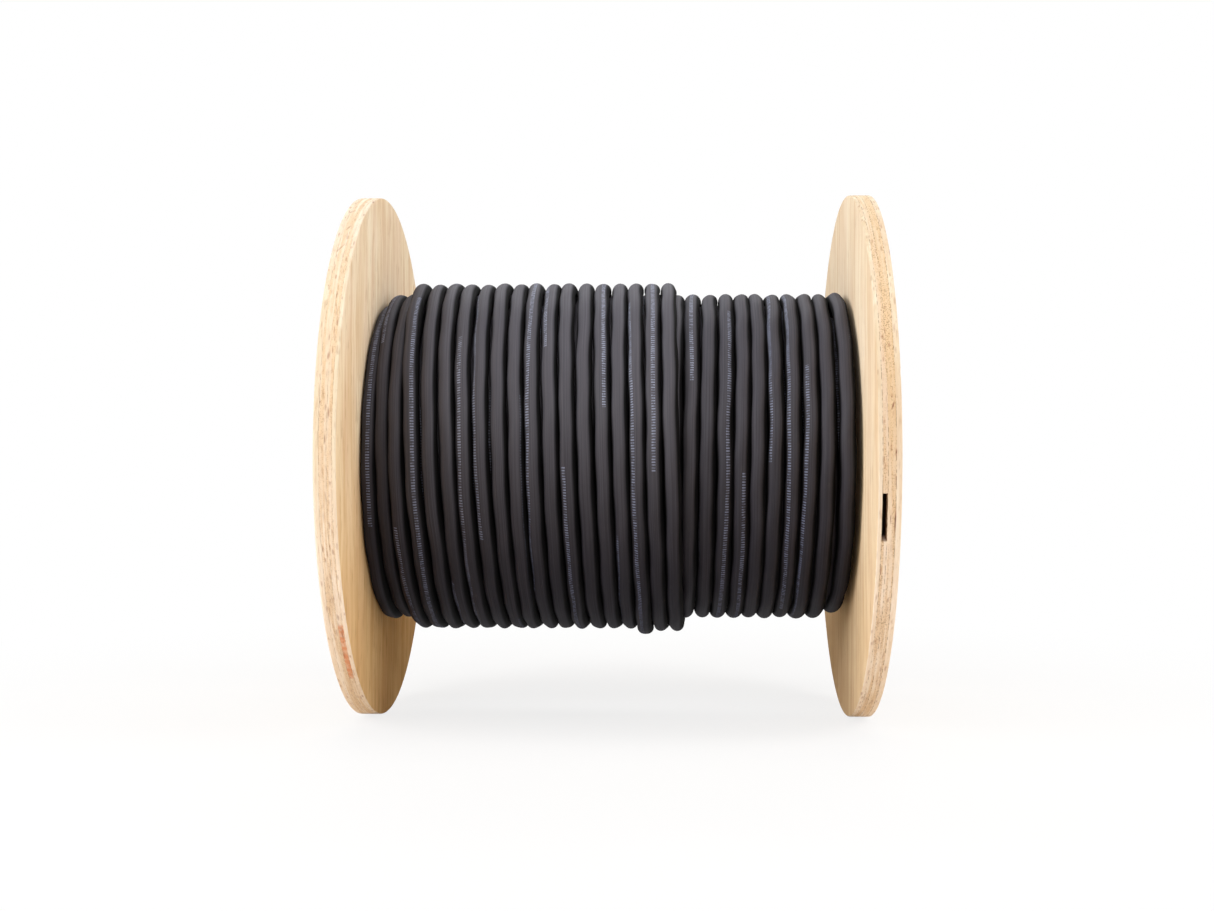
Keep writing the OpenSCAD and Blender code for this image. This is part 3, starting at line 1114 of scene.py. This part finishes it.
def cable_mesh(name, turns, x, radius, sides, start_length=0.0):
    """Builds a tube along the path and gives the length of cable laid up to its end."""
    points = on_drum(turns, x, radius)
    _, out, beside = path_frames(points)
    steps = np.linalg.norm(np.diff(points, axis=0), axis=1)
    length = start_length + np.concatenate([[0], np.cumsum(steps)])
    around = np.arange(sides + 1) / sides
    bend = 2 * math.pi * (around - 0.5)
    twist = 2 * math.pi * length[:, None] / CORE_LAY
    thick = cable_d / 2 * (1 + LOBE * np.cos(2 * (bend[None, :] - twist)))
    cosine, sine = np.cos(bend)[None, :, None], np.sin(bend)[None, :, None]
    ring = out[:, None] * cosine + beside[:, None] * sine
    shell = points[:, None] + ring * thick[:, :, None]

    count = len(points)
    i, j = np.meshgrid(np.arange(count - 1), np.arange(sides), indexing="ij")
    i, j = i.ravel(), j.ravel()
    corners = ((i, j), (i, j + 1), (i + 1, j + 1), (i + 1, j))
    faces = np.stack([a * sides + b % sides for a, b in corners], 1)
    end_caps = [list(range(sides))[::-1], list(range((count - 1) * sides, count * sides))]
    mesh = bpy.data.meshes.new(name)
    mesh.from_pydata(shell[:, :sides].reshape(-1, 3), [], faces.tolist() + end_caps)
    cable_maps(mesh, turns, length, around, corners)
    mesh.polygons.foreach_set("use_smooth", np.arange(len(mesh.polygons)) < len(faces))
    piece = bpy.data.objects.new(name, mesh)
    bpy.context.scene.collection.objects.link(piece)
    mesh.materials.append(rubber)
    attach(piece, "root")
    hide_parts("cable_winding")
    print(name, len(mesh.polygons), "faces", round(length[-1] - start_length, 2), "m of cable")
    return length[-1]


print("sweep ready, one lay is", CORE_LAY, "m")

# %% [markdown]
# The four layers inside are hardly seen, only through the grooves between the turns above
# them, so they are even helices with fewer points. Each layer ends against a flange, climbs
# on to itself and runs back.

# %% The inner layers
LAYERS, INNER_LAYERS = 6, 4
LAYER_RISE = 6.6 * MM
EVEN_TURNS = 27.0
INNER_EDGE = 126.0 * MM
INNER_POINTS, INNER_SIDES = 48, 10
CLIMB_TURNS = 0.6
top_r = winding_r - cable_d / 2
layer_r = [top_r - LAYER_RISE * (LAYERS - 1 - layer) for layer in range(LAYERS)]


def smooth(value):
    """A soft step from 0 to 1."""
    value = np.clip(value, 0, 1)
    return value * value * (3 - 2 * value)


turns = np.arange(0, INNER_LAYERS * EVEN_TURNS + 1e-9, 1 / INNER_POINTS)
layer = np.minimum(turns // EVEN_TURNS, INNER_LAYERS - 1).astype(int)
in_layer = turns - layer * EVEN_TURNS
climb = smooth((in_layer - EVEN_TURNS + CLIMB_TURNS) / CLIMB_TURNS)
rise = np.where(layer < INNER_LAYERS - 1, LAYER_RISE, 0.0)
inner_radius = np.array(layer_r)[layer] + climb * rise
sway = INNER_EDGE * (1 - 2 * in_layer / EVEN_TURNS)
inner_place = np.where(layer % 2 == 0, sway, -sway)
cable_length = cable_mesh("cable_inner_layers", turns, inner_place, inner_radius, INNER_SIDES)

# %% [markdown]
# ## The lower layer that shows
# At the right the fifth layer lies bare. It comes back from the right flange, and each turn
# moves over mostly as it comes down the front, because the hand that laid it guided it there.
# Small uneven steps, and a first turn that is pulled in under the drum, keep it from looking
# machined.

# %% Uneven laying
def slow_noise(rng, turns, per_turn):
    """Smooth seeded wander along a winding, about 1 high."""
    knots = np.arange(math.floor(turns[0] * per_turn) - 1, math.ceil(turns[-1] * per_turn) + 3)
    heights = rng.standard_normal(len(knots))
    place = turns * per_turn - knots[0]
    low = place.astype(int)
    part = smooth(place - low)
    return heights[low] * (1 - part) + heights[low + 1] * part


def near_turn(turns, centre, reach):
    """1 at one place of the winding, falling to 0 at reach turns on either side."""
    return smooth(1 - np.abs(turns - centre) / reach)


def uneven(rng, turns, drift):
    """A hand's drift from turn to turn, with a finer shake on it."""
    return drift * slow_noise(rng, turns, 1.0) + 0.10 * MM * slow_noise(rng, turns, 4.0)


rng = np.random.default_rng(5)
print("laying is uneven by a few tenths of a millimetre")

# %% The lower layer
FIRST_TURN, LOWER_END = -0.5, 26.5
SEEN_POINTS, LOWER_SIDES = 120, 20
LOWER_START, LOWER_STEP, LOWER_LEAN = 129.2 * MM, 9.15 * MM, 1.1 * MM
LOWER_GAP = 0.8 * MM
LIST_UNTIL, LIST_FADE = 0.8, 0.2
TUCK_FIRST, TUCK_FIRST_TURNS = 6.0 * MM, 0.45
TUCK_LAST, TUCK_LAST_FROM, TUCK_LAST_TURNS = 4.5 * MM, 25.9, 0.6
PULLED_IN, PULLED_AT, PULLED_TURNS = 3.2 * MM, 0.5, 0.3
lower_start = np.array([
    # turns, place along the axis (mm)
    (-0.5, 130.0), (0, 129.2), (0.25, 127.6), (0.5, 127.3), (0.75, 124.4), (1.0, 120.6),
])

turns = np.arange(FIRST_TURN, LOWER_END + 1e-9, 1 / SEEN_POINTS)
lower_place = LOWER_START - LOWER_STEP * turns - LOWER_LEAN * np.sin(2 * math.pi * turns)
lower_place += uneven(rng, turns, 0.25 * MM)
begun = smooth((turns - LIST_UNTIL) / LIST_FADE)
by_eye = np.interp(turns, lower_start[:, 0], lower_start[:, 1]) * MM
lower_place = lower_place * begun + by_eye * (1 - begun)
lower_place += 0.26 * MM * slow_noise(rng, turns, 18.0)
lower_place = np.minimum(lower_place, inner_x - cable_d / 2 - LOWER_GAP)
lower_radius = layer_r[INNER_LAYERS] + 0.18 * MM * slow_noise(rng, turns, 3.0)
lower_radius -= TUCK_FIRST * smooth(-turns / TUCK_FIRST_TURNS)
lower_radius -= TUCK_LAST * smooth((turns - TUCK_LAST_FROM) / TUCK_LAST_TURNS)
lower_radius -= PULLED_IN * near_turn(turns, PULLED_AT, PULLED_TURNS)
cable_length = cable_mesh(
    "cable_lower_layer", turns, lower_place, lower_radius, LOWER_SIDES, cable_length
)

# %% [markdown]
# ## The top pass
# The last pass starts low in the left corner, climbs over two turns and then runs right for
# sixteen. Its first turns are a short list of given places: how far they are from the
# middle and from the axis at each quarter turn. The rest follows one rule, a step per turn
# plus a lean that fades to the right. A few turns hang slack under the drum.

# %% The start of the top pass
pass_start = (
    # turns, place along the axis, distance from the axis (mm)
    (-0.50, -118.0, 78.0),
    (-0.25, -127.0, 81.0),
    (0.00, -130.6, 85.5),
    (0.25, -130.7, 89.6),
    (0.50, -130.8, 92.6),
    (0.75, -129.0, 91.2),
    (1.00, -127.0, 91.2),
    (1.25, -122.3, 90.8),
    (1.50, -121.1, 91.0),
    (1.75, -120.0, 91.2),
    (2.00, -117.6, 91.8),
    (2.25, -115.0, 95.6),
    (2.38, -112.2, 97.2),
    (2.50, -110.9, 97.7),
)
PASS_RULED = pass_start[-1][0]
EASE_POINTS = 31
window = np.hanning(EASE_POINTS) / np.hanning(EASE_POINTS).sum()


def eased(values):
    """Values with the corners rounded over a quarter of a turn."""
    return np.convolve(np.pad(values, EASE_POINTS // 2, mode="edge"), window, mode="valid")


print("first", PASS_RULED, "turns by eye")

# %% The top pass
TOP_START, TOP_STEP = -113.0 * MM, 9.647 * MM
LEAN_LEFT, LEAN_FADE = 3.14 * MM, 0.19 * MM
BULGE_LEFT, BULGE_FADE = 2.0 * MM, 0.2 * MM
RULE_START, TOP_END, TOP_SIDES = 3.0, 18.7, 22
EASED_UNTIL, EASED_FADE = 2.9, 0.3
NUDGE, NUDGE_AT, NUDGE_TURNS = 0.7 * MM, 3.45, 0.4
TOP_GAP = 0.1 * MM
SLACK_TURNS = ((16.5, 3.5 * MM, 0.24), (17.5, 1.2 * MM, 0.25), (18.5, 1.2 * MM, 0.25))

turns = np.arange(FIRST_TURN, TOP_END, 1 / SEEN_POINTS)
laid = turns - RULE_START
lean = LEAN_LEFT - LEAN_FADE * laid
bulge = BULGE_LEFT - BULGE_FADE * laid
ruled = TOP_START + TOP_STEP * laid
ruled += lean * (1 - np.cos(2 * math.pi * laid)) + bulge * np.sin(2 * math.pi * laid)
knots = np.array(pass_start)
begun = turns < PASS_RULED
top_place = np.where(begun, np.interp(turns, knots[:, 0], knots[:, 1]) * MM, ruled)
top_radius = np.where(begun, np.interp(turns, knots[:, 0], knots[:, 2]) * MM, top_r)
early = 1 - smooth((turns - EASED_UNTIL) / EASED_FADE)
top_place = eased(top_place) * early + top_place * (1 - early)
top_radius = eased(top_radius)
top_place -= NUDGE * near_turn(turns, NUDGE_AT, NUDGE_TURNS)
top_place = np.maximum(top_place, -(inner_x - cable_d / 2 - TOP_GAP))
top_place += smooth(turns - PASS_RULED) * uneven(rng, turns, 0.22 * MM)
top_place += smooth(turns - 2.0) * 0.28 * MM * slow_noise(rng, turns, 18.0)
top_radius += 0.15 * MM * slow_noise(rng, turns, 3.0)
for centre, sag, reach in SLACK_TURNS:
    top_radius += sag * near_turn(turns, centre, reach)
cable_length = cable_mesh("cable_top_pass", turns, top_place, top_radius, TOP_SIDES, cable_length)
print("whole cable", round(cable_length, 1), "m")

# %% [markdown]
# ## The cut end
# Cable on a drum is sold by the metre, so its outer end is simply cut off. It lies at the
# back against its neighbour. Short stubs stand out of the cut: a pad of filler, the two
# insulated cores and their copper. One mark per stub tells the finish what it is.

# %% Core finish
FILLER_LIGHT, FILLER_DULL = (0.55, 0.52, 0.46, 1), (0.44, 0.41, 0.36, 1)
SLEEVE_BLACK, SLEEVE_GREY = (0.030, 0.030, 0.032, 1), (0.055, 0.055, 0.057, 1)
COPPER_DARK, COPPER_BRIGHT = (0.50, 0.20, 0.09, 1), (0.80, 0.38, 0.20, 1)

cores, tree, place, end = new_finish("cable_cores")
kind = attribute(tree, "kind")
marks = handled(tree, place, 300.0, 5000.0)
filler = blend(tree, marks["Smudge"], FILLER_LIGHT, FILLER_DULL)
sleeve = blend(tree, marks["Smudge"], SLEEVE_BLACK, SLEEVE_GREY)
strands = stretch(tree, marks["Specks"], 0.35, 0.65)
copper = blend(tree, strands, COPPER_DARK, COPPER_BRIGHT)
core_colour = blend(tree, calc(tree, "GREATER_THAN", kind, 0.5), filler, sleeve)
is_copper = calc(tree, "GREATER_THAN", kind, 1.5)
core_colour = blend(tree, is_copper, core_colour, copper)
core_finish = {
    "Base Color": core_colour,
    "Metallic": is_copper,
    "Roughness": 0.5,
    "Normal": bump(tree, marks["Specks"], 0.3, 0.08 * MM),
}
shade(tree, end, core_finish)
print("core finish", len(tree.nodes), "nodes")

# %% Stubs on the cut
end_points = on_drum(turns[-3:], top_place[-3:], top_radius[-3:])
end_along, end_out, end_beside = (rows[-1] for rows in path_frames(end_points))
stubs = (
    # kind, place across the cut, radius, height above it (mm)
    (0, 0.0, 3.10, 0.15),
    (1, -1.50, 1.35, 0.50),
    (1, 1.50, 1.35, 0.50),
    (2, -1.50, 0.80, 0.90),
    (2, 1.50, 0.80, 0.90),
)
STUB_POINTS = 28
STUB_FOOT = 0.6 * MM
cut = RingMesh("kind")
turn = round_angles(STUB_POINTS)
spokes = np.cos(turn)[:, None] * end_out + np.sin(turn)[:, None] * end_beside
for stub_kind, across, radius, height in stubs:
    circle = end_points[-1] + end_beside * across * MM + spokes * radius * MM
    foot = cut.ring(circle - end_along * STUB_FOOT, kind=stub_kind)
    head = cut.ring(circle + end_along * height * MM, kind=stub_kind)
    cut.bridge(foot, head)
    cut.faces += [tuple(head), tuple(reversed(foot))]
    cut.flat += [True, True]
cut_end = cut.build("cable_cut_end")
cut_end.data.materials.append(cores)
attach(cut_end, "root")
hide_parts("cable_winding")
print("cut end at", [round(v, 4) for v in end_points[-1]])

# %% [markdown]
# ## Board, bolts and nuts
# The core tube, the bolts and the tee nuts have the right shapes already, so they stay as
# solids and only get finishes. The tube is brown board wound in a spiral, so one fine seam
# climbs round it. A picture could be wrapped round the tube, but a line worked out from the
# angle and the place along the axis needs no map.

# %% Core board
BOARD_BROWN, BOARD_PALE = (0.42, 0.30, 0.19, 1), (0.50, 0.37, 0.24, 1)
BOARD_SPECK, BOARD_SEAM = (0.28, 0.19, 0.12, 1), (0.16, 0.11, 0.07, 1)
SPIRAL_STEP = 0.11

core_board, tree, place, end = new_finish("core_board")
spot = put(tree, "ShaderNodeSeparateXYZ", {0: place}).outputs
lift = calc(tree, "SUBTRACT", spot[2], axis_z)
lap = calc(tree, "DIVIDE", calc(tree, "ARCTAN2", lift, spot[1]), 2 * math.pi)
spiral = calc(tree, "ADD", calc(tree, "DIVIDE", spot[0], SPIRAL_STEP), lap)
seam = calc(tree, "PINGPONG", spiral, 0.5)
marks = handled(tree, place, 40.0, 800.0)
board_colour = blend(tree, marks["Smudge"], BOARD_BROWN, BOARD_PALE)
speckled = stretch(tree, marks["Specks"], 0.58, 0.70)
board_colour = blend(tree, speckled, board_colour, BOARD_SPECK)
board_colour = blend(tree, stretch(tree, seam, 0.008, 0.0), board_colour, BOARD_SEAM)
board_finish = {
    "Base Color": board_colour,
    "Roughness": 0.85,
    "Specular IOR Level": 0.2,
    "Normal": bump(tree, marks["Specks"], 0.4, 0.15 * MM),
}
shade(tree, end, board_finish)
print("board finish", len(tree.nodes), "nodes")

# %% [markdown]
# The bolts and tee nuts are steel with a bright coat of zinc, duller where it was handled.
# They are small and sit deep in their pockets, so one metal finish does for all of them, and
# specks in its roughness break up the shine.

# %% Zinc
ZINC_BRIGHT, ZINC_DULL = (0.60, 0.60, 0.61, 1), (0.48, 0.48, 0.50, 1)
ZINC_SCUFF = (0.30, 0.29, 0.28, 1)

zinc, tree, place, end = new_finish("zinc_steel")
marks = handled(tree, place, 160.0, 2600.0)
metal = blend(tree, marks["Smudge"], ZINC_BRIGHT, ZINC_DULL)
metal = blend(tree, times(tree, marks["Scuff"], 0.5), metal, ZINC_SCUFF)
rough = stretch(tree, marks["Specks"], 0.3, 0.7, 0.28, 0.46)
zinc_normal = bump(tree, marks["Specks"], 0.15, 0.05 * MM)
zinc_finish = {"Base Color": metal, "Metallic": 1.0, "Roughness": rough, "Normal": zinc_normal}
shade(tree, end, zinc_finish)
print("zinc finish", len(tree.nodes), "nodes")

# %% Dress the solids that stay
dressed = {"core_tube": core_board}
for number in range(1, 5):
    dressed["tie_bolt_%d" % number] = zinc
    dressed["tee_nut_%d" % number] = zinc
for name, finish in dressed.items():
    solid = frame["nodes"][name]
    solid.data.materials.clear()
    solid.data.materials.append(finish)
print("dressed", sorted(dressed))
